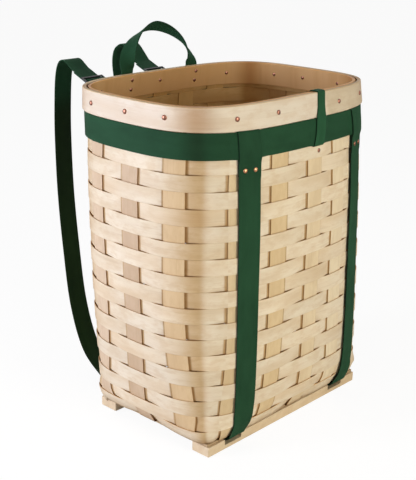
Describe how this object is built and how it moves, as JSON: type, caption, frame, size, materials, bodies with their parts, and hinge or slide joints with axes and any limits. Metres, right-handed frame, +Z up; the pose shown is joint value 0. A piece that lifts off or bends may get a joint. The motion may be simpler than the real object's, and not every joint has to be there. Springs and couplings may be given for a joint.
{
  "type": "pack_basket",
  "caption": "Tall woven splint pack basket on two wooden runners, with a webbing belly band, shoulder straps with sliders, a grab handle and copper rivets",
  "frame": {"origin": "on the floor under the runners, at the middle of the whole part's footprint, straps included", "axes": "X across the basket, to the right of someone who faces its front with the two long straps; Y from the front towards the wearer's side with the shoulder straps; Z up"},
  "size_m": [0.4532, 0.505, 0.6085],
  "materials": {
    "weaver_splint": "satin",
    "stake_splint": "satin",
    "ash_wood": "satin",
    "green_webbing": "matte",
    "copper": "polished",
    "black_plastic": "matte"
  },
  "bodies": {
    "basket": {"long_stake_1": "stake_splint", "long_stake_2": "stake_splint", "long_stake_3": "stake_splint", "long_stake_4": "stake_splint", "long_stake_5": "stake_splint", "cross_stake_1": "stake_splint", "cross_stake_2": "stake_splint", "cross_stake_3": "stake_splint", "weaver_01": "weaver_splint", "weaver_02": "weaver_splint", "weaver_03": "weaver_splint", "weaver_04": "weaver_splint", "weaver_05": "weaver_splint", "weaver_06": "weaver_splint", "weaver_07": "weaver_splint", "weaver_08": "weaver_splint", "weaver_09": "weaver_splint", "weaver_10": "weaver_splint", "weaver_11": "weaver_splint", "weaver_12": "weaver_splint", "weaver_13": "weaver_splint", "weaver_14": "weaver_splint", "weaver_15": "weaver_splint", "weaver_16": "weaver_splint", "weaver_17": "weaver_splint", "weaver_18": "weaver_splint", "weaver_19": "weaver_splint", "weaver_20": "weaver_splint", "outer_rim": "ash_wood", "inner_rim": "ash_wood", "base_board": "ash_wood", "front_runner": "ash_wood", "back_runner": "ash_wood", "belly_band": "green_webbing", "rim_keeper": "green_webbing", "front_strap_left": "green_webbing", "front_strap_right": "green_webbing", "anchor_tab_left": "green_webbing", "anchor_tab_right": "green_webbing", "handle_end_left": "green_webbing", "handle_end_right": "green_webbing", "front_rivet_left_1": "copper", "front_rivet_left_2": "copper", "front_rivet_right_1": "copper", "front_rivet_right_2": "copper", "handle_rivet_left_1": "copper", "handle_rivet_left_2": "copper", "handle_rivet_right_1": "copper", "handle_rivet_right_2": "copper"},
    "left_shoulder_strap": {"anchor_strap_left": "green_webbing", "slider_left": "black_plastic", "shoulder_strap_left": "green_webbing"},
    "right_shoulder_strap": {"anchor_strap_right": "green_webbing", "slider_right": "black_plastic", "shoulder_strap_right": "green_webbing"},
    "handle": {"grab_handle": "green_webbing"}
  },
  "joints": [
    {"name": "left_strap_swing", "type": "hinge", "parent": "basket", "child": "left_shoulder_strap", "pos_m": [-0.0712, 0.10242, 0.4871], "axis": [0.1228, 0.169, 0.9779], "range_deg": [-12, 12]},
    {"name": "right_strap_swing", "type": "hinge", "parent": "basket", "child": "right_shoulder_strap", "pos_m": [0.0712, 0.10237, 0.4871], "axis": [-0.1228, 0.169, 0.9779], "range_deg": [-12, 12]},
    {"name": "handle_tip", "type": "hinge", "parent": "basket", "child": "handle", "pos_m": [0, 0.08287, 0.5317], "axis": [1, 0, 0], "range_deg": [-70, 80]}
  ]
}
